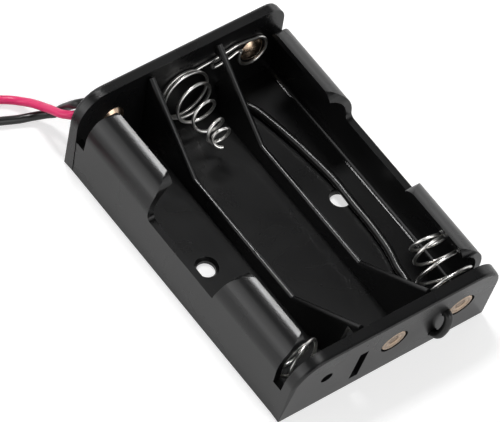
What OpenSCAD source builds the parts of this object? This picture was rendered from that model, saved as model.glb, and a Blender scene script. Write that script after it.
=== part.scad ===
// Open battery holder for three AAA cells in a row, with wire springs, rivets and two soldered leads.
// Millimetres. +X runs along the cells to the near end plate, +Y across them, +Z up.
// The origin is the middle of the flat underside.

/* [Cells] */
// Diameter of one cell
cell_d = 10.5; // [9.5:0.1:14.5]
// Length of one cell
cell_l = 44.5; // [36:0.5:52]
// Room past each cell's length for its squeezed spring
end_room = 3.2; // [3:0.1:6]
// Gap left between two neighbouring cells
cell_gap = 1.6; // [1.3:0.1:4]

/* [Tray] */
// Thickness of the floor
floor_t = 1.2; // [0.8:0.1:3]
// Thickness of each side wall
wall_t = 1.1; // [0.7:0.05:2]
// Gap between an outer cell and its side wall
side_gap = 0.05; // [0:0.05:0.6]
// How far the side walls stand back from the edges of the end plates
wall_inset = 0.1; // [0:0.05:0.4]
// Radius where the floor meets the side walls inside
floor_fillet = 0.8; // [0.4:0.1:2]

/* [End plates] */
// Thickness of each end plate
plate_t = 1.9; // [1.2:0.05:3]
// Height of the end plates above the top of a cell
plate_over = 1.95; // [1:0.05:4]
// How far the top of each end plate leans outward
plate_splay = 1.4; // [0:0.1:2]
// Radius of the plates' top corners and of the hoods over the outer cells
corner_r = 5; // [3:0.1:6.5]
// Radius of the far plate's top corner over the third cell
square_r = 2.6; // [1.5:0.1:5]
// Rounding of the plates' outer top edge
edge_r = 0.5; // [0.3:0.05:1.2]

/* [Hoods and windows] */
// How far each hood reaches in over its cell, from the outside of the wall
hood_reach = 4.25; // [2.5:0.05:5]
// Gap between a hood and the end plate beside it
end_gap = 1.2; // [1:0.1:3]
// Height of the bottom of that gap
end_gap_z = 6.2; // [4:0.1:9]
// Height of the bottom of the gap beside the third cell's far rivet
high_gap_z = 8.6; // [4:0.1:11]
// Length of the window in the middle of each side wall
window_l = 15.6; // [10:0.2:22]
// Height of the window's lower edge
window_z = 7.8; // [5:0.1:9]
// Lean of the far hoods' ends at the window, in degrees
far_lean = 6; // [0:1:20]
// Lean of the near hoods' ends at the window, in degrees
near_lean = 13; // [0:1:25]
// Radius of the hoods' top corners at the window
window_r = 2.7; // [0.5:0.1:3]
// Radius of the soft corner where the far hoods meet the window's lower edge
window_fillet = 0.9; // [0.3:0.1:1.5]
// Radius of the hoods' top corners at the end gaps
gap_r = 1.7; // [0.5:0.1:2.5]

/* [Ribs] */
// Thickness of the ribs between the cells
rib_t = 0.95; // [0.6:0.05:1.2]
// Height of the low middle part of the ribs above the floor
rib_h = 3; // [2:0.1:5]
// Half length of that low part
rib_half = 11.8; // [6:0.1:15]
// Drop of each ramp's top end below the top of the end plates
ramp_drop = 0.25; // [0:0.05:2]

/* [Contacts] */
// Height of the contacts above the middle of a cell
contact_up = 0.95; // [0:0.05:1.5]
// How far the third cell's far rivet stands outward from the middle of its cell
rivet_out = 0.9; // [0:0.1:1.2]
// Shank diameter of the rivets
rivet_d = 2.4; // [1.6:0.1:3]
// Diameter of the rivets' rolled outer flange
flange_d = 4.1; // [3.4:0.1:5]
// Thickness of that flange
flange_t = 0.38; // [0.2:0.02:0.6]
// Diameter of the rivets' domed inner head
head_d = 4; // [3.4:0.1:4.6]
// Height of that head
head_h = 0.9; // [0.5:0.05:1.5]
// Bore of the tubular rivets
rivet_bore = 1.2; // [0.8:0.1:1.5]
// Depth of the recess round each flange
recess_d = 0.45; // [0.3:0.05:0.8]
// Gap between a flange and the edge of its recess
recess_gap = 0.25; // [0.1:0.05:0.5]
// Clearance of a rivet's shank and flange in the plate
rivet_fit = 0.05; // [0.02:0.01:0.2]
// Width of the slots that pass wires beside the ribs
slot_w = 1.5; // [1.2:0.1:2.5]
// Height of the lower edge of the slots
slot_z = 2.2; // [1.6:0.1:3]
// Length of the slots
slot_l = 6.9; // [4:0.1:7]
// Depth of the notch that each slot cuts into its rib
notch = 2.2; // [1.8:0.1:3]
// Extra height of that notch above the slot
notch_up = 2; // [1.2:0.1:2]
// Offset of the near slot from the middle of its rib, towards the second cell
slot_off = 0.2; // [0:0.1:0.5]
// Diameter of the holes that pass the black lead
wire_hole = 1.6; // [1.5:0.1:2]
// Distance of the upper lead hole from the middle of the third cell
hole_in = 2.9; // [2.8:0.1:3.2]
// Height of that hole above the contacts
hole_up = 0.5; // [0:0.1:1]
// Distance of the lower lead hole from the middle of the third cell
low_in = 3.8; // [3.4:0.1:4.2]
// Distance of the far lead hole from the middle of the third cell
exit_in = 4.5; // [4:0.1:4.6]
// Height of the lower and far lead holes
low_z = 3; // [2.6:0.1:3.4]
// Diameter of the pilot hole where the first cell's spring stands
pilot_d = 2; // [1:0.1:2.4]

/* [Springs] */
// Diameter of the spring wire
wire_d = 0.5; // [0.3:0.05:0.7]
// Outer diameter of a spring's base coil
base_d = 8.4; // [6:0.1:8.6]
// Outer diameter of its end coil
tip_d = 4.2; // [3:0.1:5]
// Free length of a spring
spring_l = 9.6; // [6:0.1:12]
// Turns from the base coil to the end coil
turns = 4; // [3:0.5:8]
// Radius of the loop that a link wire makes round a rivet
loop_r = 2.5; // [2.4:0.1:3.2]

/* [Mounting] */
// Diameter of the two screw holes
screw_d = 2.8; // [2:0.1:3.2]
// Countersink diameter in the first cell's floor
sink_1 = 3.6; // [3.4:0.1:5]
// Countersink diameter in the third cell's floor
sink_3 = 3.3; // [3.3:0.1:5]
// Depth of the countersinks
sink_depth = 0.6; // [0.2:0.1:0.7]

/* [Leads] */
// Outer diameter of the insulated leads
lead_d = 1.3; // [1:0.05:1.4]
// Diameter of their bare strands
strand_d = 0.8; // [0.4:0.05:0.9]
// Length of the stripped, tinned ends
strip_l = 4; // [2:0.5:5]
// Middle radius of the coil that puts the spare length away
coil_r = 6.8; // [6:0.1:9]
// Width of the coil's winding
coil_w = 4.7; // [3:0.1:6]

/* [Hidden] */
$fn = 64;
pitch = cell_d + cell_gap;
base_l = cell_l + end_room + 2 * plate_t;
tray_w = 2 * pitch + cell_d + 2 * side_gap + 2 * wall_t;
tray_h = floor_t + cell_d + plate_over;
splay = atan(plate_splay / tray_h);
contact_z = floor_t + cell_d / 2 + contact_up;
wall_y = tray_w / 2 - wall_inset;
wall_x = base_l / 2 - plate_t / 3;
hood_end = base_l / 2 - plate_t - end_gap;
rib_y = pitch / 2;
rib_z = floor_t + rib_h;
ramp_x = base_l / 2 - plate_t / 2;
ramp_z = tray_h - ramp_drop;
slot_y = rib_y - slot_off;
recess_w = flange_d + 2 * recess_gap;
hole_y = pitch - hole_in;
hole_z = contact_z + hole_up;
low_y = pitch - low_in;
exit_y = pitch - exit_in;
base_r = (base_d - wire_d) / 2;
tip_r = (tip_d - wire_d) / 2;
wire_u = wire_d / 2 + 0.02;
lead_z = floor_t + lead_d / 2;
out_z = 0.65;

// Middle of the flat coil, on the surface beside the tray.
coil_c = [-34, -38.5];
coil_h = 2.64;

plastic = [0.06, 0.06, 0.065];
nickel = [0.78, 0.77, 0.74];
copper = [0.72, 0.6, 0.5];
red = [0.92, 0.12, 0.28];
black = [0.07, 0.07, 0.075];
tin = [0.75, 0.75, 0.76];

// ---- Places on the leaning plates ----

// Puts children in the frame of one plate: x = 0 is its outer face and +x points out of the tray.
module at_plate(far) {
    mirror([far ? 1 : 0, 0, 0]) translate([base_l / 2, 0, 0]) rotate([0, splay, 0]) children();
}

// The same place as a point, out from the outer face, at y and at height z up the plate.
function plate_point(far, out, y, z) = [
    (far ? -1 : 1) * (base_l / 2 + out * cos(splay) + z * sin(splay)),
    y,
    z * cos(splay) - out * sin(splay)
];

// A cylinder through a plate, from one distance out to another.
module across(from, to, d, y, z) {
    translate([from, y, z]) rotate([0, 90, 0]) cylinder(d = d, h = to - from);
}

// ---- Swept wires ----

function unit(v) = v / norm(v);

// A smooth curve through the points, with n steps from each to the next.
function curve(p, n) = [
    for (i = [0 : len(p) - 2], k = [0 : n - 1])
        let (a = p[max(i - 1, 0)], b = p[i], c = p[i + 1], d = p[min(i + 2, len(p) - 1)], t = k / n)
            0.5 * (2 * b + (c - a) * t + (2 * a - 5 * b + 4 * c - d) * t * t
                + (3 * b - a - 3 * c + d) * t * t * t),
    p[len(p) - 1]
];

function directions(p) = [
    for (i = [0 : len(p) - 1]) unit(p[min(i + 1, len(p) - 1)] - p[max(i - 1, 0)])
];

// A side direction for each ring, carried along the path without twist.
function sides_along(t) = [
    for (i = 0, n = unit(cross(t[0], abs(t[0].z) < 0.9 ? [0, 0, 1] : [0, 1, 0])); i < len(t);
         i = i + 1, n = i < len(t) ? unit(n - (n * t[i]) * t[i]) : n) n
];

module tube(p, d, sides) {
    t = directions(p);
    n = sides_along(t);
    last = len(p) - 1;
    points = [
        for (i = [0 : last]) let (b = cross(t[i], n[i]))
            for (k = [0 : sides - 1]) let (a = 360 * (k + 0.5) / sides)
                p[i] + d / 2 * (cos(a) * n[i] + sin(a) * b)
    ];
    faces = concat(
        [[for (k = [0 : sides - 1]) k]],
        [[for (k = [sides - 1 : -1 : 0]) last * sides + k]],
        [for (i = [0 : last - 1], k = [0 : sides - 1])
            let (a = i * sides + k, b = i * sides + (k + 1) % sides)
                for (f = [[a, a + sides, b + sides], [a, b + sides, b]]) f]
    );
    polyhedron(points = points, faces = faces);
}

// ---- Tray ----

// The end plate's outline, brought in by an amount that fades out towards its bottom corners. The two
// radii are those of its top corners over the first and over the third cell.
module plate_outline(inset, radii) {
    polygon([[-tray_w / 2, 0], [tray_w / 2, 0], [tray_w / 2 - inset, tray_h - radii[1]],
             [-tray_w / 2 + inset, tray_h - radii[0]]]);
    for (k = [0, 1]) translate([(2 * k - 1) * (tray_w / 2 - radii[k]), tray_h - radii[k]])
        circle(radii[k] - inset, $fn = 32);
}

module plate_slice(x, thick, inset, radii) {
    translate([x, 0, 0]) rotate([90, 0, 90]) linear_extrude(thick) plate_outline(inset, radii);
}

module end_plate(radii) {
    thin = 0.01;
    hull() {
        plate_slice(-plate_t, plate_t - edge_r, 0, radii);
        plate_slice(-edge_r * 0.4, thin, edge_r * 0.17, radii);
        plate_slice(-edge_r * 0.12, thin, edge_r * 0.5, radii);
        plate_slice(-thin, thin, edge_r * 0.85, radii);
    }
}

module rounded(w, h, r) {
    translate([-w / 2, -1]) square([w, h - r + 1]);
    translate([-w / 2 + r, 0]) square([w - 2 * r, h]);
    for (s = [-1, 1]) translate([s * (w / 2 - r), h - r]) circle(r);
}

// Section across the tray: both side walls with the hoods that curl in over the outer cells.
module wall_section() {
    difference() {
        rounded(2 * wall_y, tray_h, corner_r);
        difference() {
            rounded(2 * (wall_y - wall_t), tray_h - wall_t, corner_r - wall_t);
            for (s = [-1, 1]) floor_corner(s);
        }
        translate([-(wall_y - hood_reach), floor_t]) square([2 * (wall_y - hood_reach), tray_h]);
        translate([-tray_w, -2]) square([2 * tray_w, 2]);
    }
}

// Fillet between floor and side wall.
module floor_corner(s) {
    mirror([s < 0 ? 1 : 0, 0]) difference() {
        translate([wall_y - wall_t - floor_fillet, -1]) square([floor_fillet, floor_t + floor_fillet + 1]);
        translate([wall_y - wall_t - floor_fillet, floor_t + floor_fillet]) circle(floor_fillet);
    }
}

// Points on an arc about c.
function arc(c, r, from, to, n) = [
    for (i = [0 : n]) let (a = from + (to - from) * i / n) c + r * [cos(a), sin(a)]
];

// Side view of one hood: it leans back at the window and has round top corners. A soft one also runs
// into the window's lower edge on a small fillet.
module hood_outline(lean, soft) {
    x0 = window_l / 2;
    f = window_fillet;
    c1 = [x0 + (window_r + (tray_h - window_r - window_z) * sin(lean)) / cos(lean), tray_h - window_r];
    c2 = [hood_end - gap_r, tray_h - gap_r];
    polygon(concat(
        [[hood_end, window_z - 1], [x0 - f, window_z - 1]],
        soft ? arc([x0 - f, window_z + f], f, -90, -lean, 5) : [[x0 - f, window_z], [x0, window_z]],
        arc(c1, window_r, 180 - lean, 90, 7),
        arc(c2, gap_r, 90, 0, 7)));
}

// Side view of the walls with their hoods, window and end gaps.
module wall_outline() {
    translate([-wall_x, -1]) square([2 * wall_x, end_gap_z + 1]);
    translate([-hood_end, -1]) square([2 * hood_end, window_z + 1]);
    hood_outline(near_lean, false);
    mirror([1, 0]) hood_outline(far_lean, true);
}

module walls() {
    intersection() {
        translate([-wall_x, 0, 0]) rotate([90, 0, 90]) linear_extrude(2 * wall_x) wall_section();
        translate([0, tray_w, 0]) rotate([90, 0, 0]) linear_extrude(2 * tray_w) wall_outline();
    }
}

// The higher piece of side wall beside the third cell's far rivet.
module high_wall() {
    intersection() {
        translate([-wall_x, 0, 0]) rotate([90, 0, 90]) linear_extrude(wall_x - hood_end + 0.5) wall_section();
        translate([-wall_x, 0, 0]) cube([wall_x - hood_end + 0.5, wall_y + 1, high_gap_z]);
    }
}

// A rib between two cells: low and round-topped in the middle, with a ramp up to each end plate.
module rib(y) {
    top_r = rib_t / 2;
    slope = atan((ramp_z - rib_z) / (ramp_x - rib_half));
    side = [[-ramp_x, 0], [ramp_x, 0], [ramp_x, ramp_z - top_r], [rib_half, rib_z - top_r],
            [-rib_half, rib_z - top_r], [-ramp_x, ramp_z - top_r]];
    translate([0, y + rib_t / 2, 0]) rotate([90, 0, 0]) linear_extrude(rib_t) polygon(side);
    translate([-rib_half, y, rib_z - top_r]) rotate([0, 90, 0]) cylinder(r = top_r, h = 2 * rib_half);
    for (far = [0, 1]) mirror([far, 0, 0]) translate([rib_half, y, rib_z - top_r])
        rotate([0, 90 - slope, 0]) cylinder(r = top_r, h = (ramp_x - rib_half) / cos(slope));
}

module rivet_seat(y) {
    across(-plate_t - 1, 1, rivet_d + 2 * rivet_fit, y, contact_z);
    across(-recess_d, 1, recess_w, y, contact_z);
}

module wire_slot(y) {
    translate([-plate_t - 1, y - slot_w / 2, slot_z]) cube([plate_t + 2, slot_w, slot_l]);
}

// Notch in a rib's end, where wires pass from one cell to the next behind the plate.
module rib_notch(y) {
    translate([-plate_t - notch, y - rib_t, slot_z]) cube([notch, 2 * rib_t, slot_l + notch_up]);
}

module screw_hole(y, sink) {
    translate([0, y, -1]) cylinder(d = screw_d, h = floor_t + 2);
    translate([0, y, floor_t - sink_depth]) cylinder(d1 = screw_d, d2 = sink, h = sink_depth);
    translate([0, y, floor_t]) cylinder(d = sink, h = 1);
}

module tray() {
    color(plastic) difference() {
        union() {
            translate([-base_l / 2, -wall_y, 0]) cube([base_l, 2 * wall_y, floor_t]);
            for (far = [false, true]) at_plate(far) end_plate([corner_r, far ? square_r : corner_r]);
            walls();
            high_wall();
            for (s = [-1, 1]) rib(s * rib_y);
        }
        at_plate(true) {
            rib_notch(rib_y);
            rivet_seat(-pitch);
            rivet_seat(pitch + rivet_out);
            across(-plate_t - 1, 1, wire_hole, exit_y, low_z);
        }
        at_plate(false) {
            rib_notch(-rib_y);
            wire_slot(-slot_y);
            rivet_seat(0);
            rivet_seat(pitch);
            across(-plate_t - 1, 1, pilot_d, -pitch, contact_z);
            across(-plate_t - 1, 1, wire_hole, hole_y, hole_z);
            across(-plate_t - 1, 1, wire_hole, low_y, low_z);
        }
        screw_hole(-pitch, sink_1);
        screw_hole(pitch, sink_3);
    }
}

// ---- Rivets ----

// Half section of a rivet, with its axis on y and y = 0 in the plate's outer face. A bored one takes a
// lead's strands.
module rivet_section(bored) {
    dome_r = (head_d * head_d / 4 + head_h * head_h) / (2 * head_h);
    rim = flange_t * 0.45;
    difference() {
        union() {
            translate([0, -plate_t]) square([rivet_d / 2, plate_t - recess_d]);
            translate([0, -recess_d]) square([flange_d / 2 - rim, flange_t]);
            translate([flange_d / 2 - rim, -recess_d]) square([rim, flange_t - rim]);
            translate([flange_d / 2 - rim, -recess_d + flange_t - rim]) circle(rim);
            intersection() {
                translate([0, -plate_t + dome_r - head_h]) circle(dome_r);
                translate([0, -plate_t - head_h]) square([head_d / 2, head_h]);
            }
        }
        // bore, and the dish rolled into the flange round it
        if (bored) translate([-1, -plate_t * 0.8]) square([1 + rivet_bore / 2, plate_t + 1]);
        polygon([[0, -recess_d + flange_t * 0.4], [rivet_bore / 2, -recess_d + flange_t * 0.4],
                 [flange_d / 2 - 3 * rim, -recess_d + flange_t + 0.001], [0, -recess_d + flange_t + 0.001]]);
        translate([-5, -9]) square([5, 18]);
    }
}

module rivet(far, y, bored = false) {
    color(copper) at_plate(far) translate([0, y, contact_z]) rotate([0, 90, 0]) rotate_extrude()
        rivet_section(bored);
}

module rivet_far_1() { rivet(true, -pitch, true); }
module rivet_far_3() { rivet(true, pitch + rivet_out); }
module rivet_near_2() { rivet(false, 0); }
module rivet_near_3() { rivet(false, pitch); }

// ---- Springs ----

// Points of a conical spring in a plate's frame: base coil flat on the plate, end coil leaning to `tip`.
function cone(base, tip, start, steps) = let (flat = 1.2, all = flat + turns) [
    for (i = [0 : steps * all])
        let (n = i / steps, q = max(n - flat, 0) / turns, a = start + 360 * n,
             r = base_r + (tip_r - base_r) * q, c = base + (tip - base) * q)
            [-plate_t - wire_u - min(n, flat) * wire_d * 1.03 - q * (spring_l - wire_d * 2.4),
             c.x + r * cos(a), c.y + r * sin(a)]
];

// Points on an arc flat against the plate.
function flat_arc(c, r, from, to, n) = [
    for (i = [0 : n]) let (a = from + (to - from) * i / n) [-plate_t - wire_u, c.x + r * cos(a), c.y + r * sin(a)]
];

function flat_points(p) = [for (q = p) [-plate_t - wire_u, q.x, q.y]];

// The first cell's spring: a link wire comes to it through the rib's notch from the middle rivet.
module spring_cell_1() {
    c = [-pitch, contact_z];
    r = [0, contact_z];
    path = concat(
        flat_points([r + [3.6, -2]]),
        flat_arc(r, loop_r, -20, 250, 15),
        curve(concat(flat_points([r + loop_r * [cos(250), sin(250)], r + [-3.2, -2.1], r + [-5, -1.1],
                                  r + [-6.6, -0.9], r + [-7.8, -1.6]]), [cone(c, c, -50, 20)[0]]), 3),
        cone(c, c + [-2.1, -2.6], -50, 20));
    color(nickel) at_plate(false) tube(path, wire_d, 6);
}

// The second cell's spring: its link wire ends in a loop round the third cell's rivet.
module spring_cell_2() {
    c = [0.3, contact_z];
    r = [pitch + rivet_out, contact_z];
    path = concat(
        curve(flat_points([r + [-7.6, 1.6], r + [-7.4, 0.6], r + [-6.3, 0.5], r + [-5, 0.7], r + [-4, 1],
                           r + [-2.9, 1.4], r + loop_r * [cos(150), sin(150)]]), 3),
        flat_arc(r, loop_r, 155, 450, 15),
        curve(concat(flat_points([r + [0, loop_r], r + [-2.8, 3], r + [-4.6, 2.7], r + [-6, 2.5],
                                  r + [-7.7, 2.2]]), [cone(c, c, 40, 20)[0]]), 3),
        cone(c, c + [-0.3, -1.9], 40, 20));
    color(nickel) at_plate(true) tube(path, wire_d, 6);
}

// The third cell's spring: its wire starts at the rivet's head, inside the base coil.
module spring_cell_3() {
    c = [pitch, contact_z];
    inner = head_d / 2 + wire_d / 2 + 0.03;
    path = concat(
        [for (i = [0 : 7]) let (a = -80 + i * 15, r = inner + (base_r - inner) * i / 8)
            [-plate_t - wire_u, c.x + r * cos(a), c.y + r * sin(a)]],
        cone(c, c + [0.6, 0.6], 40, 20));
    color(nickel) at_plate(false) tube(path, wire_d, 6);
}

// ---- Leads ----

// The black lead inside the holder: from the near rivet out through the upper hole, back in through the
// lower one, along the third cell's floor and out through the far hole.
module black_lead_run() {
    near = [for (q = [[-plate_t, hole_y, hole_z], [0.2, hole_y, hole_z], [0.9, hole_y - 0.1, hole_z - 0.4],
                      [1.25, hole_y - 0.3, hole_z - 1.5], [1.3, hole_y - 0.5, hole_z - 2.7],
                      [1.1, hole_y - 0.7, hole_z - 3.9], [0.6, low_y + 0.05, low_z + 0.3],
                      [-0.2, low_y, low_z], [-plate_t, low_y, low_z],
                      [-plate_t - 1, low_y + 0.05, low_z - 0.2], [-plate_t - 2.2, low_y + 0.2, low_z - 0.65]])
            plate_point(false, q.x, q.y, q.z)];
    floor_points = [[20.2, 8.7], [17.2, 11], [14.3, 11.5], [10.9, 12.3], [6.6, 12.65], [2.3, 12.7], [-0.2, 12.8],
                    [-3.4, 12.8], [-9, 12.2], [-11.1, 11.9], [-14.9, 11.2], [-18, 10.5], [-20, 9.6]];
    far = [for (q = [[-plate_t - 3.2, exit_y + 1.5, 1.7], [-plate_t - 2, exit_y + 0.7, 2.3],
                     [-plate_t - 0.8, exit_y + 0.1, low_z - 0.15], [0, exit_y, low_z]])
            plate_point(true, q.x, q.y, q.z)];
    color(black) tube(concat(near, [for (q = floor_points) [q.x, q.y, lead_z]], far), lead_d, 8);
}

// Bare strands of the black lead, from the wire hole to the near rivet's head.
module black_strands() {
    p = [[0, hole_y, hole_z], [-0.3, hole_y, hole_z], [-0.55, hole_y + 0.2, hole_z - 0.05],
         [-0.6, pitch - head_d / 2 - 0.1, contact_z + 0.35]];
    color(tin) tube([for (q = p) plate_point(false, q.x - plate_t, q.y, q.z)], strand_d, 8);
}

// Bare strands of the red lead, soldered in the far rivet's bore.
module red_strands() {
    color(tin) at_plate(true) across(-plate_t * 0.8, 0.1, strand_d, -pitch, contact_z);
}

// Free part of the black lead, along the back of the far plate and down to the surface.
module black_lead() {
    back = [for (q = [[0, exit_y, low_z], [1.3, exit_y - 0.1, low_z + 0.1], [2.3, exit_y - 0.7, 3.2],
                      [2.8, exit_y - 1.9, 3.6], [2.7, 4, 4.3], [2.3, 2, 5.1], [1.7, -0.4, 6.2], [1.2, -3, 7.2],
                      [0.9, -5.6, 8.1], [0.85, -8.2, 8.8], [0.85, -10.6, 9.2], [0.95, -12.6, 9.3],
                      [1.3, -14.1, 9.1]])
            plate_point(true, q.x, q.y, q.z)];
    free = [[-28.8, -15.6, 8.4], [-30.2, -15.7, 6.2], [-31.3, -15.9, 4.3], [-31.9, -16.3, 2.9], [-32.9, -16.9, 1.9],
            [-34, -18.3, 1], [-34.8, -20.2, out_z], [-35.7, -22.4, out_z], [-36.5, -24.4, out_z],
            [-37.5, -26.4, 0.9], [-38.8, -28.6, 1.5], [-40.3, -31, 1.97]];
    color(black) tube(concat(back, free), lead_d, 8);
}

// Free part of the red lead, from its rivet down to the surface.
module red_lead() {
    back = [for (q = [[0.1, -pitch, contact_z], [0.9, -pitch - 0.1, contact_z], [1.35, -13.2, 7.15],
                      [1.5, -14.6, 6.95]])
            plate_point(true, q.x, q.y, q.z)];
    free = [[-28.15, -16.3, 6.95], [-28.9, -17, 6.6], [-29.8, -17.4, 6.1], [-31.4, -17.5, 5.1], [-33.1, -17.4, 3.7],
            [-35.2, -17.7, 2.3], [-36.9, -18.3, 1.2], [-38.2, -19.4, 0.75], [-39.2, -21, out_z],
            [-40.1, -23.2, out_z], [-40.7, -25.8, out_z], [-40.7, -28.5, out_z], [-40.3, -31, out_z]];
    color(red) tube(concat(back, free), lead_d, 8);
}

// The spare length of both leads, wound in one flat round coil.
module lead_coil() {
    corner = lead_d / 2;
    color(black) translate([coil_c.x, coil_c.y, 0]) rotate_extrude() translate([coil_r - coil_w / 2, 0]) {
        translate([corner, 0]) square([coil_w - 2 * corner, coil_h]);
        translate([0, corner]) square([coil_w, coil_h - 2 * corner]);
        for (x = [corner, coil_w - corner], z = [corner, coil_h - corner]) translate([x, z]) circle(corner);
    }
}

// A stripped, tinned lead end that lies in the middle of the coil.
module lead_tip(angle) {
    start = coil_r - coil_w / 2 - lead_d / 2;
    color(tin) translate([coil_c.x, coil_c.y, out_z]) rotate([0, 0, angle]) translate([start, 0, 0])
        rotate([0, 0, 28]) rotate([-90, 0, 0]) cylinder(d = strand_d, h = strip_l);
}

module black_tip() { lead_tip(20); }
module red_tip() { lead_tip(200); }

tray();
rivet_far_1();
rivet_far_3();
rivet_near_2();
rivet_near_3();
spring_cell_1();
spring_cell_2();
spring_cell_3();
black_lead_run();
black_strands();
red_strands();
black_lead();
red_lead();
lead_coil();
black_tip();
red_tip();
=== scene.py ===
"""Dresses a three-cell open battery holder: satin black moulding, nickel springs, tubular rivets, two leads."""

import math

import bmesh
import bpy
import numpy as np
from bpy.props import FloatProperty, FloatVectorProperty, PointerProperty
from mathutils import Matrix, Vector


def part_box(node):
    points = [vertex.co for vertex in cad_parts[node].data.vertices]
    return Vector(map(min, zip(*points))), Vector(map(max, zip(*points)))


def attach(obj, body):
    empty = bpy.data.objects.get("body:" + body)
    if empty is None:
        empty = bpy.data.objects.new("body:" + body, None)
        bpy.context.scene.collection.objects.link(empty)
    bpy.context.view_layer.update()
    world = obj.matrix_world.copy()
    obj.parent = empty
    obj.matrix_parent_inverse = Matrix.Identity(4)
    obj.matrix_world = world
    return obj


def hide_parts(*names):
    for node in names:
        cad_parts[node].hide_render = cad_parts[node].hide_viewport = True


bl_info = {
    "name": "Open Battery Holder",
    "version": (1, 0, 0),
    "blender": (4, 5, 0),
    "location": "View3D > Sidebar > Battery Holder",
    "description": "Dresses the frame of an open three-cell battery holder",
    "category": "Object",
}

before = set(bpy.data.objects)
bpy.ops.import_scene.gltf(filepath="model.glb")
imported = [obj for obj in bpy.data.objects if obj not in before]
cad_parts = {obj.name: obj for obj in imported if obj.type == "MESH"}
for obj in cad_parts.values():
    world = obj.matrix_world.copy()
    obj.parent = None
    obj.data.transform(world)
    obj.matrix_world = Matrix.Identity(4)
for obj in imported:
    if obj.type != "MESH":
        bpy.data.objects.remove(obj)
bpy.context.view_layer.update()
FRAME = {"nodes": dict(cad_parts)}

MM = 0.001

# ---- Sizes of the moulding, in millimetres ----
CELL_D, CELL_L, END_ROOM, CELL_GAP = 10.5, 44.5, 3.2, 1.6
FLOOR_T, PLATE_T, PLATE_OVER, PLATE_SPLAY = 1.2, 1.9, 1.95, 1.4
PITCH = CELL_D + CELL_GAP
BASE_L = CELL_L + END_ROOM + 2 * PLATE_T
TRAY_H = FLOOR_T + CELL_D + PLATE_OVER
SPLAY = math.atan(PLATE_SPLAY / TRAY_H)
CONTACT_UP = 0.95
CONTACT_Z = FLOOR_T + CELL_D / 2 + CONTACT_UP
RIVET_OUT = 0.9
HOLE_Y, HOLE_Z = PITCH - 2.9, CONTACT_Z + 0.5
LOW_Y, EXIT_Y, LOW_Z = PITCH - 3.8, PITCH - 4.5, 3.0

# ---- Sizes of the springs, in millimetres ----
WIRE_D = 0.5
WIRE_OFF = WIRE_D / 2 + 0.02
LOOP_R = 2.5
LEAN_FROM = 0.3

# ---- Sizes of the leads, in millimetres ----
OUT_Z = 0.65
COIL_C = (-34.0, -38.5)
COIL_OUTER = 8.45
LEAD_PITCH = 1.32


def plate_point(far, out, y, z):
    """A point of a leaning end plate, in millimetres: out from its outer face, at y, z up the plate."""
    side = -1 if far else 1
    return Vector((
        side * (BASE_L / 2 + out * math.cos(SPLAY) + z * math.sin(SPLAY)),
        y,
        z * math.cos(SPLAY) - out * math.sin(SPLAY),
    ))


def smooth_line(points, steps):
    """A smooth line through the points, with that many steps from each to the next."""
    p = [Vector(q) for q in points]
    line = []
    for i in range(len(p) - 1):
        a, b, c, d = p[max(i - 1, 0)], p[i], p[i + 1], p[min(i + 2, len(p) - 1)]
        for k in range(steps):
            t = k / steps
            line.append(0.5 * (2 * b + (c - a) * t + (2 * a - 5 * b + 4 * c - d) * t * t
                               + (3 * b - a - 3 * c + d) * t ** 3))
    return line + [p[-1]]


# ---- Properties ----


class HolderPlastic(bpy.types.PropertyGroup):
    """The moulding's colour and finish"""

    colour: FloatVectorProperty(name="Colour", description="Colour of the moulded plastic", subtype="COLOR",
                                size=3, min=0, max=1, default=(0.0045, 0.0045, 0.0048))
    roughness: FloatProperty(name="Roughness", description="Roughness of the satin skin", subtype="FACTOR",
                             min=0, max=1, default=0.28)
    edge: FloatProperty(name="Edge radius", description="Rounding of the moulding's edges", unit="LENGTH",
                        min=0, max=0.001, default=0.00013)


class HolderMetal(bpy.types.PropertyGroup):
    """Springs and rivets"""

    wire: FloatProperty(name="Wire", description="Diameter of the spring wire", unit="LENGTH",
                        min=0.0002, max=0.001, default=WIRE_D * MM)
    nickel: FloatVectorProperty(name="Nickel", description="Colour of the nickel plate", subtype="COLOR",
                                size=3, min=0, max=1, default=(0.92, 0.91, 0.88))
    copper: FloatVectorProperty(name="Rivet centre", description="Colour of the rivets' rolled centres",
                                subtype="COLOR", size=3, min=0, max=1, default=(0.74, 0.56, 0.41))


class HolderLeads(bpy.types.PropertyGroup):
    """The two leads"""

    diameter: FloatProperty(name="Diameter", description="Outer diameter of the insulation", unit="LENGTH",
                            min=0.0005, max=0.002, default=0.0013)
    length: FloatProperty(name="Length", description="Free length of each lead", unit="LENGTH",
                          min=0.05, max=0.3, default=0.15)
    red: FloatVectorProperty(name="Red", description="Colour of the positive lead", subtype="COLOR",
                             size=3, min=0, max=1, default=(0.88, 0.03, 0.17))
    black: FloatVectorProperty(name="Black", description="Colour of the negative lead", subtype="COLOR",
                               size=3, min=0, max=1, default=(0.006, 0.006, 0.006))


# ---- Materials ----


def new_material(name):
    """A node material, its node tree and its Principled shader."""
    material = bpy.data.materials.new(name)
    material.use_nodes = True
    return material, material.node_tree, material.node_tree.nodes["Principled BSDF"]


def add_node(tree, kind, inputs=None, **settings):
    """A node with its settings and its unlinked inputs given."""
    node = tree.nodes.new(kind)
    for key, value in settings.items():
        setattr(node, key, value)
    for key, value in (inputs or {}).items():
        node.inputs[key].default_value = value
    return node


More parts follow.
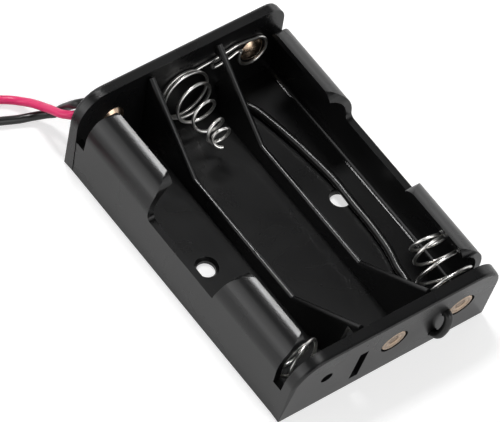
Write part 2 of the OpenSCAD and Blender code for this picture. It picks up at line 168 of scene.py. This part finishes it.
def moulded_skin_group():
    """Fine grain and slow gloss changes of a moulded or drawn surface."""
    group = bpy.data.node_groups.new("Moulded skin", "ShaderNodeTree")
    face = group.interface
    for name, default in (("Grain scale", 2600.0), ("Flow scale", 90.0), ("Roughness", 0.3), ("Spread", 0.1)):
        face.new_socket(name, in_out="INPUT", socket_type="NodeSocketFloat").default_value = default
    face.new_socket("Roughness", in_out="OUTPUT", socket_type="NodeSocketFloat")
    face.new_socket("Height", in_out="OUTPUT", socket_type="NodeSocketFloat")
    inputs = add_node(group, "NodeGroupInput")
    outputs = add_node(group, "NodeGroupOutput")
    place = add_node(group, "ShaderNodeTexCoord")
    grain = add_node(group, "ShaderNodeTexNoise", {"Detail": 3.0, "Roughness": 0.6})
    flow = add_node(group, "ShaderNodeTexNoise", {"Detail": 4.0, "Roughness": 0.55, "Distortion": 0.6})
    link = group.links.new
    for noise, scale in ((grain, "Grain scale"), (flow, "Flow scale")):
        link(place.outputs["Object"], noise.inputs["Vector"])
        link(inputs.outputs[scale], noise.inputs["Scale"])
    centred = add_node(group, "ShaderNodeMath", operation="SUBTRACT")
    centred.inputs[1].default_value = 0.5
    spread = add_node(group, "ShaderNodeMath", operation="MULTIPLY_ADD")
    link(flow.outputs["Fac"], centred.inputs[0])
    link(centred.outputs[0], spread.inputs[0])
    link(inputs.outputs["Spread"], spread.inputs[1])
    link(inputs.outputs["Roughness"], spread.inputs[2])
    link(spread.outputs[0], outputs.inputs["Roughness"])
    link(grain.outputs["Fac"], outputs.inputs["Height"])
    return group


def place_skin(tree, shader, roughness, spread, grain=2600.0, flow=90.0, bump=0.05, depth=0.00002):
    """Puts the skin group in a material and links it to its shader."""
    group = bpy.data.node_groups.get("Moulded skin") or moulded_skin_group()
    skin = add_node(tree, "ShaderNodeGroup", node_tree=group)
    for key, value in (("Grain scale", grain), ("Flow scale", flow), ("Roughness", roughness), ("Spread", spread)):
        skin.inputs[key].default_value = value
    height = add_node(tree, "ShaderNodeBump", {"Strength": bump, "Distance": depth})
    tree.links.new(skin.outputs["Height"], height.inputs["Height"])
    tree.links.new(skin.outputs["Roughness"], shader.inputs["Roughness"])
    tree.links.new(height.outputs["Normal"], shader.inputs["Normal"])


def plastic_material():
    """Satin black polypropylene."""
    found = bpy.data.materials.get("Black moulding")
    if found:
        return found
    look = bpy.context.scene.holder_plastic
    material, tree, shader = new_material("Black moulding")
    shader.inputs["Base Color"].default_value = (*look.colour, 1)
    shader.inputs["IOR"].default_value = 1.5
    place_skin(tree, shader, look.roughness, 0.12)
    return material


def metal_material(name, colour, roughness, spread=0.1, bump=0.04, grain=5200.0):
    """Plated metal with faint drawing marks."""
    found = bpy.data.materials.get(name)
    if found:
        return found
    material, tree, shader = new_material(name)
    shader.inputs["Base Color"].default_value = (*colour, 1)
    shader.inputs["Metallic"].default_value = 1
    place_skin(tree, shader, roughness, spread, grain=grain, flow=700.0, bump=bump)
    return material


def painted_rivet_shade_group():
    """Distance from a rivet's axis, as a mask of painted shade: dark in the bore, darkest at the bore's edge, and
    darker again in a ring outside the rolled rim.
    """
    group = bpy.data.node_groups.new("Painted rivet shade", "ShaderNodeTree")
    face = group.interface
    face.new_socket("Centre", in_out="INPUT", socket_type="NodeSocketVector")
    face.new_socket("Mask", in_out="OUTPUT", socket_type="NodeSocketFloat")
    inputs = add_node(group, "NodeGroupInput")
    outputs = add_node(group, "NodeGroupOutput")
    place = add_node(group, "ShaderNodeTexCoord")
    flat = add_node(group, "ShaderNodeVectorMath", {1: (0, 1, 1)}, operation="MULTIPLY")
    away = add_node(group, "ShaderNodeVectorMath", operation="DISTANCE")
    ramp = add_node(group, "ShaderNodeValToRGB")
    wide = add_node(group, "ShaderNodeMath", {1: 500.0}, operation="MULTIPLY")
    link = group.links.new
    link(place.outputs["Object"], flat.inputs[0])
    link(flat.outputs[0], away.inputs[0])
    link(inputs.outputs["Centre"], away.inputs[1])
    link(away.outputs["Value"], wide.inputs[0])
    link(wide.outputs[0], ramp.inputs["Fac"])
    stops = ramp.color_ramp.elements
    stops[0].position, stops[0].color = 0.0, (0.35, 0.35, 0.35, 1)
    stops[1].position, stops[1].color = 1.0, (0.9, 0.9, 0.9, 1)
    # Painted shade: a dark bore, the darkest ring at its edge, the rolled rim near full colour, and a shaded ring
    # outside it.
    for position, level in ((0.3, 0.45), (0.38, 0.05), (0.46, 0.8), (0.62, 0.95), (0.7, 0.55)):
        stop = stops.new(position)
        stop.color = (level, level, level, 1)
    link(ramp.outputs["Color"], outputs.inputs["Mask"])
    return group


def rivet_material(name, colour, centre):
    """Copper-coloured rivet with painted shade: darkened in the bore and in rings round the rolled rim, about a
    centre in metres.
    """
    material = metal_material(name, colour, 0.27, 0.14)
    tree = material.node_tree
    shader = tree.nodes["Principled BSDF"]
    group = bpy.data.node_groups.get("Painted rivet shade") or painted_rivet_shade_group()
    # Mask of painted shade in the bore and round the rolled rim.
    painted_shade = add_node(tree, "ShaderNodeGroup", node_tree=group)
    painted_shade.inputs["Centre"].default_value = (0, *centre)
    painted_shade_mix = add_node(tree, "ShaderNodeMix", data_type="RGBA")
    # Colour of the painted shade in the bore and round the rim.
    painted_shade_mix.inputs["A"].default_value = (0.16, 0.1, 0.06, 1)
    painted_shade_mix.inputs["B"].default_value = (*colour, 1)
    tree.links.new(painted_shade.outputs["Mask"], painted_shade_mix.inputs["Factor"])
    tree.links.new(painted_shade_mix.outputs["Result"], shader.inputs["Base Color"])
    return material


def insulation_material(name, colour):
    """Soft PVC insulation."""
    found = bpy.data.materials.get(name)
    if found:
        return found
    material, tree, shader = new_material(name)
    shader.inputs["Base Color"].default_value = (*colour, 1)
    shader.inputs["IOR"].default_value = 1.52
    place_skin(tree, shader, 0.32, 0.1, grain=3800.0, flow=250.0, bump=0.08)
    return material


# ---- Making pieces ----


def wire_piece(name, line, diameter, material, nodes, sides=5):
    """A round wire along a line of points in millimetres, standing for CAD nodes."""
    data = bpy.data.curves.new(name, "CURVE")
    data.dimensions = "3D"
    data.bevel_depth = diameter / 2
    data.bevel_resolution = sides
    data.use_fill_caps = True
    spline = data.splines.new("POLY")
    spline.points.add(len(line) - 1)
    for point, place in zip(spline.points, line):
        point.co = (*(Vector(place) * MM), 1)
    spline.use_smooth = True
    data.materials.append(material)
    piece = bpy.data.objects.new(name, data)
    bpy.context.scene.collection.objects.link(piece)
    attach(piece, "root")
    if nodes:
        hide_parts(*nodes)
    return piece


def spline_rows(stops, rows, places):
    """A natural cubic spline through rows of numbers at the given stops, read at other places."""
    x, y = np.array(stops, float), np.array(rows, float)
    step = np.diff(x)
    slope = np.diff(y, axis=0) / step[:, None]
    size = len(x)
    left, right = np.eye(size), np.zeros_like(y)
    for i in range(1, size - 1):
        left[i, i - 1:i + 2] = step[i - 1], 2 * (step[i - 1] + step[i]), step[i]
        right[i] = 6 * (slope[i] - slope[i - 1])
    bend = np.linalg.solve(left, right)
    at = np.array(places, float)
    i = np.clip(np.searchsorted(x, at) - 1, 0, size - 2)
    h, a, b = step[i][:, None], (x[i + 1] - at)[:, None], (at - x[i])[:, None]
    return ((bend[i] * a ** 3 + bend[i + 1] * b ** 3) / (6 * h)
            + (y[i] / h - bend[i] * h / 6) * a + (y[i + 1] / h - bend[i + 1] * h / 6) * b)


def coil_line(keys, hand, tilt=1.0, step=8):
    """Centre line of a conical spring in a plate's frame. Each key holds a turned angle, the distance from
    the plate, the centre's y and z, and the radius. The turns stand square to the spring's own axis, and
    lean less near the plate."""
    turned = np.arange(keys[0][0], keys[-1][0] + 0.1, step)
    rows = spline_rows([key[0] for key in keys], [key[1:] for key in keys], turned)
    along = np.gradient(rows, turned, axis=0)
    line = []
    for angle, (away, y, z, radius), (rise, dy, dz, _) in zip(turned.tolist(), rows.tolist(), along.tolist()):
        lean = tilt * min(1.0, max(away, 0) / LEAN_FROM)
        axis = Vector((-abs(rise) - 0.0012, dy * lean, dz * lean)).normalized()
        across = (Vector((0, 1, 0)) - axis.y * axis).normalized()
        up = Vector((0, 0, 1)) - axis.z * axis
        up = (up - up.dot(across) * across).normalized()
        a = math.radians(angle) * hand
        centre = Vector((-PLATE_T - WIRE_OFF - max(away, 0), y, z))
        line.append(tuple(centre + radius * (math.cos(a) * across + math.sin(a) * up)))
    return line


def flat_points(points):
    """Wire points against a plate's inner face."""
    return [(-PLATE_T - WIRE_OFF, y, z) for y, z in points]


def loop_points(y, start, end, count=36):
    """Wire points of an arc round a rivet, against a plate's inner face."""
    angles = [math.radians(start + (end - start) * i / count) for i in range(count + 1)]
    return flat_points([(y + LOOP_R * math.cos(a), CONTACT_Z + LOOP_R * math.sin(a)) for a in angles])


def linked_spring(loop, tail, link, coil):
    """A spring's whole wire: a short tail, the loop round its rivet, the link wire and the coil."""
    bend = smooth_line(flat_points(tail) + [loop[0]], 5)
    across = smooth_line([loop[-1]] + flat_points(link) + [coil[0]], 5)
    return bend[:-1] + loop[:-1] + across[:-1] + coil


def on_plate(far, points):
    """Points of a plate's frame as places of the tray."""
    return [plate_point(far, *q) for q in points]


# ---- Leads ----

BLACK_BACK = [(0, EXIT_Y, LOW_Z), (1.3, EXIT_Y - 0.1, LOW_Z + 0.1), (2.3, EXIT_Y - 0.7, 3.2),
              (2.8, EXIT_Y - 1.9, 3.6), (2.7, 4, 4.3), (2.3, 2, 5.1), (1.7, -0.4, 6.2), (1.2, -3, 7.2), (0.9, -5.6, 8.1),
              (0.85, -8.2, 8.8), (0.85, -10.6, 9.2), (0.95, -12.6, 9.3), (1.3, -14.1, 9.1)]
BLACK_FREE = [(-28.8, -15.6, 8.4), (-30.2, -15.7, 6.2), (-31.3, -15.9, 4.3), (-31.9, -16.3, 2.9), (-32.9, -16.9, 1.9),
              (-34, -18.3, 1), (-34.8, -20.2, OUT_Z), (-35.7, -22.4, OUT_Z), (-36.5, -24.4, OUT_Z),
              (-37.5, -26.4, 0.9), (-38.8, -28.6, 1.5), (-40.3, -31, 1.97)]
RED_BACK = [(0.1, -PITCH, CONTACT_Z), (0.9, -PITCH - 0.1, CONTACT_Z), (1.35, -13.2, 7.15), (1.5, -14.6, 6.95)]
RED_FREE = [(-28.15, -16.3, 6.95), (-28.9, -17, 6.6), (-29.8, -17.4, 6.1), (-31.4, -17.5, 5.1), (-33.1, -17.4, 3.7),
            (-35.2, -17.7, 2.3), (-36.9, -18.3, 1.2), (-38.2, -19.4, 0.75), (-39.2, -21, OUT_Z),
            (-40.1, -23.2, OUT_Z), (-40.7, -25.8, OUT_Z), (-40.7, -28.5, OUT_Z), (-40.3, -31, OUT_Z)]
RUN_NEAR = [(-PLATE_T, HOLE_Y, HOLE_Z), (0.2, HOLE_Y, HOLE_Z), (0.9, HOLE_Y - 0.1, HOLE_Z - 0.4),
            (1.25, HOLE_Y - 0.3, HOLE_Z - 1.5), (1.3, HOLE_Y - 0.5, HOLE_Z - 2.7), (1.1, HOLE_Y - 0.7, HOLE_Z - 3.9),
            (0.6, LOW_Y + 0.05, LOW_Z + 0.3), (-0.2, LOW_Y, LOW_Z), (-PLATE_T, LOW_Y, LOW_Z),
            (-PLATE_T - 1, LOW_Y + 0.05, LOW_Z - 0.2), (-PLATE_T - 2.2, LOW_Y + 0.2, LOW_Z - 0.65)]
RUN_FLOOR = [(20.2, 8.7), (17.2, 11), (14.3, 11.5), (10.9, 12.3), (6.6, 12.65), (2.3, 12.7), (-0.2, 12.8),
             (-3.4, 12.8), (-9, 12.2), (-11.1, 11.9), (-14.9, 11.2), (-18, 10.5), (-20, 9.6)]
RUN_FAR = [(-PLATE_T - 3.2, EXIT_Y + 1.5, 1.7), (-PLATE_T - 2, EXIT_Y + 0.7, 2.3),
           (-PLATE_T - 0.8, EXIT_Y + 0.1, LOW_Z - 0.15), (0, EXIT_Y, LOW_Z)]


def wound_turns(lead_in, z, length, end_z):
    """Points of a flat spiral, from the outermost turn inward, that uses up a length in millimetres."""
    start = math.atan2(lead_in[1] - COIL_C[1], lead_in[0] - COIL_C[0]) + 0.52
    points, used, angle, radius = [], 0.0, start, COIL_OUTER
    step = math.radians(15)
    while used < length:
        turned = angle - start
        radius = COIL_OUTER - LEAD_PITCH * turned / (2 * math.pi)
        left = length - used
        drop = min(1.0, max(0.0, 1 - left / 14))
        points.append((COIL_C[0] + radius * math.cos(angle), COIL_C[1] + radius * math.sin(angle),
                       z + (end_z - z) * drop * drop * (3 - 2 * drop)))
        used += radius * step
        angle += step
    return points


def line_length(line):
    """Length of a line of points."""
    return sum((b - a).length for a, b in zip(line, line[1:]))


def lead_line(back, free, z, total):
    """The whole free lead: off the plate, down to the surface and round its coil."""
    seen = on_plate(True, back) + [Vector(q) for q in free]
    first = smooth_line(seen, 6)
    rest = total - line_length(first)
    turns = wound_turns(free[-1], z, rest - 5.0, OUT_Z)
    return smooth_line(seen + [Vector(q) for q in turns], 6)


class HOLDER_OT_leads(bpy.types.Operator):
    """Lay the two leads: inside the tray, off the far plate, and wound in one small coil"""

    bl_idname = "holder.leads"
    bl_label = "Leads"

    def execute(self, context):
        look = context.scene.holder_leads
        black = insulation_material("Black insulation", look.black)
        red = insulation_material("Red insulation", look.red)
        tin = metal_material("Tinned strands", (0.72, 0.72, 0.72), 0.3)
        nodes = FRAME["nodes"]
        for name in ("black_tip", "red_tip", "black_strands", "red_strands"):
            dress(nodes[name], tin)

        inside = (on_plate(False, RUN_NEAR) + [Vector((x, y, FLOOR_T + 0.65)) for x, y in RUN_FLOOR]
                  + on_plate(True, RUN_FAR))
        run = wire_piece("black_lead_inside", smooth_line(inside, 6), look.diameter, black,
                         ["black_lead_run"])
        black_line = lead_line(BLACK_BACK, BLACK_FREE, 1.97, look.length / MM)
        red_line = lead_line(RED_BACK, RED_FREE, OUT_Z, look.length / MM)
        black_piece = wire_piece("black_lead_free", black_line, look.diameter, black,
                                 ["black_lead", "lead_coil"])
        red_piece = wire_piece("red_lead_free", red_line, look.diameter, red, ["red_lead"])
        return {"FINISHED"}


def dress(node, material):
    """Gives a CAD node a material."""
    node.data.materials.clear()
    node.data.materials.append(material)


# ---- Springs ----


# Turned angle in degrees, then millimetres: distance from the plate, centre y, centre z, radius.
CELL_1_COIL = [(-300, 0, -12.0, 7.0, 3.85), (0, 0.5, -12.0, 6.8, 3.8), (240, 1.9, -12.15, 6.05, 3.5),
               (400, 2.4, -12.8, 5.2, 3.1), (660, 3.5, -13.2, 5.0, 2.9), (960, 5.0, -13.4, 4.6, 2.7),
               (1320, 6.6, -13.6, 4.3, 2.4), (1600, 7.6, -13.9, 4.0, 2.1)]
CELL_2_COIL = [(60, 0, 0.28, 5.89, 4.01), (420, 0.72, 0.31, 5.97, 4.08), (780, 2.32, 0.24, 6.05, 3.36),
               (1140, 4.99, 0.13, 6.15, 2.33), (1500, 8.21, -0.26, 6.28, 1.76), (1860, 10.07, -0.23, 6.11, 1.55),
               (2060, 10.2, -0.26, 6.23, 1.47)]
CELL_3_COIL = [(-520, 0, 12.1, 7.4, 2.3), (-330, 0, 12.1, 7.0, 3.4), (0, 0.5, 12.44, 7.0, 3.95),
               (360, 2.47, 12.6, 7.39, 4.03), (720, 5.31, 12.89, 8.14, 3.17), (1080, 7.64, 13.1, 8.49, 2.62),
               (1430, 8.51, 13.26, 8.78, 2.28)]

# Places of the tails and link wires on the plates: y and z.
CELL_1_TAIL = [(-6.6, 6.6), (-5.4, 6.5), (-4.0, 6.75)]
CELL_1_LINK = [(-3.2, 4.9), (-6.0, 4.75), (-8.3, 4.3)]
CELL_2_TAIL = [(5.4, 9.0), (5.6, 8.0), (6.65, 7.9), (8.0, 8.1), (8.93, 8.4), (10.0, 8.8)]
CELL_2_LINK = [(10.1, 10.35), (8.4, 10.1), (7.0, 9.9), (5.3, 9.65)]


class HOLDER_OT_springs(bpy.types.Operator):
    """Wind the three conical springs with their link wires"""

    bl_idname = "holder.springs"
    bl_label = "Springs"

    def execute(self, context):
        look = context.scene.holder_metal
        nickel = metal_material("Spring nickel", look.nickel, 0.3)
        first = linked_spring(loop_points(0, 185, -90), CELL_1_TAIL, CELL_1_LINK,
                              coil_line(CELL_1_COIL, -1, tilt=0.25))
        second = linked_spring(loop_points(PITCH + RIVET_OUT, 150, 450), CELL_2_TAIL, CELL_2_LINK,
                               coil_line(CELL_2_COIL, 1))
        third = coil_line(CELL_3_COIL, -1)
        for cell, far, path in ((1, False, first), (2, True, second), (3, False, third)):
            wire_piece(f"cell_{cell}_spring", on_plate(far, path), look.wire, nickel,
                       [f"spring_cell_{cell}"])
        return {"FINISHED"}


class HOLDER_OT_rivets(bpy.types.Operator):
    """Finish the four tubular rivets"""

    bl_idname = "holder.rivets"
    bl_label = "Rivets"

    def execute(self, context):
        look = context.scene.holder_metal
        for name in ("rivet_far_1", "rivet_far_3", "rivet_near_2", "rivet_near_3"):
            low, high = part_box(name)
            centre = ((low[1] + high[1]) / 2, (low[2] + high[2]) / 2)
            dress(FRAME["nodes"][name], rivet_material(name.replace("_", " "), look.copper, centre))
        return {"FINISHED"}


class HOLDER_OT_tray(bpy.types.Operator):
    """Finish the moulded tray"""

    bl_idname = "holder.tray"
    bl_label = "Tray"

    def execute(self, context):
        look = context.scene.holder_plastic
        shape = bmesh.new()
        shape.from_mesh(FRAME["nodes"]["tray"].data)
        bmesh.ops.remove_doubles(shape, verts=shape.verts, dist=0.00001)
        bmesh.ops.dissolve_limit(shape, angle_limit=math.radians(1.5), verts=shape.verts, edges=shape.edges)
        mesh = bpy.data.meshes.new("moulded_tray")
        shape.to_mesh(mesh)
        shape.free()
        mesh.materials.append(plastic_material())
        mesh.shade_smooth()
        mesh.set_sharp_from_angle(angle=math.radians(32))
        tray = bpy.data.objects.new("moulded_tray", mesh)
        context.scene.collection.objects.link(tray)
        rounding = tray.modifiers.new("Edge rounding", "BEVEL")
        rounding.width = look.edge
        rounding.segments = 2
        rounding.limit_method = "ANGLE"
        rounding.angle_limit = math.radians(32)
        rounding.use_clamp_overlap = True
        even = tray.modifiers.new("Even faces", "WEIGHTED_NORMAL")
        even.weight = 100
        even.keep_sharp = True
        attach(tray, "root")
        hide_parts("tray")
        return {"FINISHED"}


# ---- Stage ----

CAMERA_PLACE = (0.28091, -0.34461, 0.59373)
CAMERA_RIGHT = (0.5915, 0.7877, 0.1719)
CAMERA_UP = (-0.7085, 0.4061, 0.5771)
CAMERA_LENS = 374.2
FLOOR_GLOW = 0.62
GLOSSY_SHARE = 0.5
# Name, place in metres, size in metres and power in watts; each lamp is aimed at the holder.
LAMPS = (
    ("Top", (-0.43, 0.06, 1.01), 0.22, 5.5),
    ("Left", (-0.5, -1.02, 0.6), 0.9, 3.5),
    ("Back", (-0.47, 0.95, 0.55), 0.5, 0.8),
    ("Front", (0.9, 0.1, 0.75), 0.8, 4.5),
)


class HOLDER_OT_stage(bpy.types.Operator):
    """Set the camera, the pale floor and the soft lamps"""

    bl_idname = "holder.stage"
    bl_label = "Stage"

    def execute(self, context):
        scene = context.scene
        scene.view_settings.view_transform = "Standard"
        data = bpy.data.cameras.new("Camera")
        data.lens = CAMERA_LENS
        data.sensor_width = 36
        data.clip_start, data.clip_end = 0.01, 20
        camera = bpy.data.objects.new("Camera", data)
        right, up = Vector(CAMERA_RIGHT).normalized(), Vector(CAMERA_UP).normalized()
        back = right.cross(up).normalized()
        up = back.cross(right)
        turn = Matrix((right, up, back)).transposed().to_4x4()
        camera.matrix_world = Matrix.Translation(CAMERA_PLACE) @ turn
        scene.collection.objects.link(camera)
        scene.camera = camera

        world = bpy.data.worlds.new("Studio")
        scene.world = world
        world.use_nodes = True
        tree = world.node_tree
        background = tree.nodes["Background"]
        background.inputs["Color"].default_value = (1, 1, 1, 1)
        # A white sweep all round under a dim ceiling.
        place = add_node(tree, "ShaderNodeTexCoord")
        split = add_node(tree, "ShaderNodeSeparateXYZ")
        level = add_node(tree, "ShaderNodeMapRange",
                         {"From Min": 0.25, "From Max": 0.62, "To Min": 1.0, "To Max": 0.05},
                         interpolation_type="SMOOTHSTEP")
        tree.links.new(place.outputs["Generated"], split.inputs["Vector"])
        tree.links.new(split.outputs["Z"], level.inputs["Value"])
        tree.links.new(level.outputs["Result"], background.inputs["Strength"])

        floor_mesh = bpy.data.meshes.new("Floor")
        shape = bmesh.new()
        bmesh.ops.create_grid(shape, x_segments=1, y_segments=1, size=3.0)
        bmesh.ops.translate(shape, vec=(0, 0, -0.0002), verts=shape.verts)
        shape.to_mesh(floor_mesh)
        shape.free()
        floor = bpy.data.objects.new("Floor", floor_mesh)
        scene.collection.objects.link(floor)
        material, tree, shader = new_material("Pale floor")
        shader.inputs["Base Color"].default_value = (0.55, 0.55, 0.55, 1)
        shader.inputs["Roughness"].default_value = 0.9
        shader.inputs["Emission Color"].default_value = (1, 1, 1, 1)
        ray = add_node(tree, "ShaderNodeLightPath")
        seen = add_node(tree, "ShaderNodeMath", {1: GLOSSY_SHARE}, operation="MULTIPLY_ADD")
        seen.use_clamp = True
        glow = add_node(tree, "ShaderNodeMath", operation="MULTIPLY_ADD")
        through = add_node(tree, "ShaderNodeMath", operation="MULTIPLY")
        tree.links.new(ray.outputs["Is Glossy Ray"], seen.inputs[0])
        tree.links.new(ray.outputs["Is Camera Ray"], seen.inputs[2])
        tree.links.new(seen.outputs[0], glow.inputs[0])
        glow.inputs[1].default_value = FLOOR_GLOW
        tree.links.new(ray.outputs["Is Transmission Ray"], through.inputs[0])
        through.inputs[1].default_value = FLOOR_GLOW
        tree.links.new(through.outputs[0], glow.inputs[2])
        tree.links.new(glow.outputs[0], shader.inputs["Emission Strength"])
        floor_mesh.materials.append(material)

        for name, place, size, power in LAMPS:
            lamp = bpy.data.lights.new(name, "AREA")
            lamp.size = size
            lamp.energy = power
            holder = bpy.data.objects.new(name, lamp)
            holder.location = place
            holder.rotation_euler = (-Vector(place)).to_track_quat("-Z", "Y").to_euler()
            scene.collection.objects.link(holder)
        return {"FINISHED"}


class HOLDER_PT_panel(bpy.types.Panel):
    """Lists the pieces of the battery holder"""

    bl_idname = "HOLDER_PT_panel"
    bl_label = "Battery Holder"
    bl_space_type = "VIEW_3D"
    bl_region_type = "UI"
    bl_category = "Battery Holder"

    def draw(self, context):
        for name in ("stage", "leads", "tray", "rivets", "springs"):
            self.layout.operator(f"holder.{name}")
        for group in ("holder_plastic", "holder_metal", "holder_leads"):
            settings = getattr(context.scene, group)
            for key in settings.__annotations__:
                self.layout.prop(settings, key)


CLASSES = (HolderPlastic, HolderMetal, HolderLeads, HOLDER_OT_stage, HOLDER_OT_leads, HOLDER_OT_tray,
           HOLDER_OT_rivets, HOLDER_OT_springs, HOLDER_PT_panel)
GROUPS = (("holder_plastic", HolderPlastic), ("holder_metal", HolderMetal), ("holder_leads", HolderLeads))


def register():
    for item in CLASSES:
        bpy.utils.register_class(item)
    for name, group in GROUPS:
        setattr(bpy.types.Scene, name, PointerProperty(type=group))


def unregister():
    for name, _ in GROUPS:
        delattr(bpy.types.Scene, name)
    for item in reversed(CLASSES):
        bpy.utils.unregister_class(item)


def main():
    """Dresses the frame."""
    register()
    for make in (bpy.ops.holder.stage, bpy.ops.holder.leads, bpy.ops.holder.tray, bpy.ops.holder.rivets,
                 bpy.ops.holder.springs):
        make()


if __name__ == "__main__":
    main()
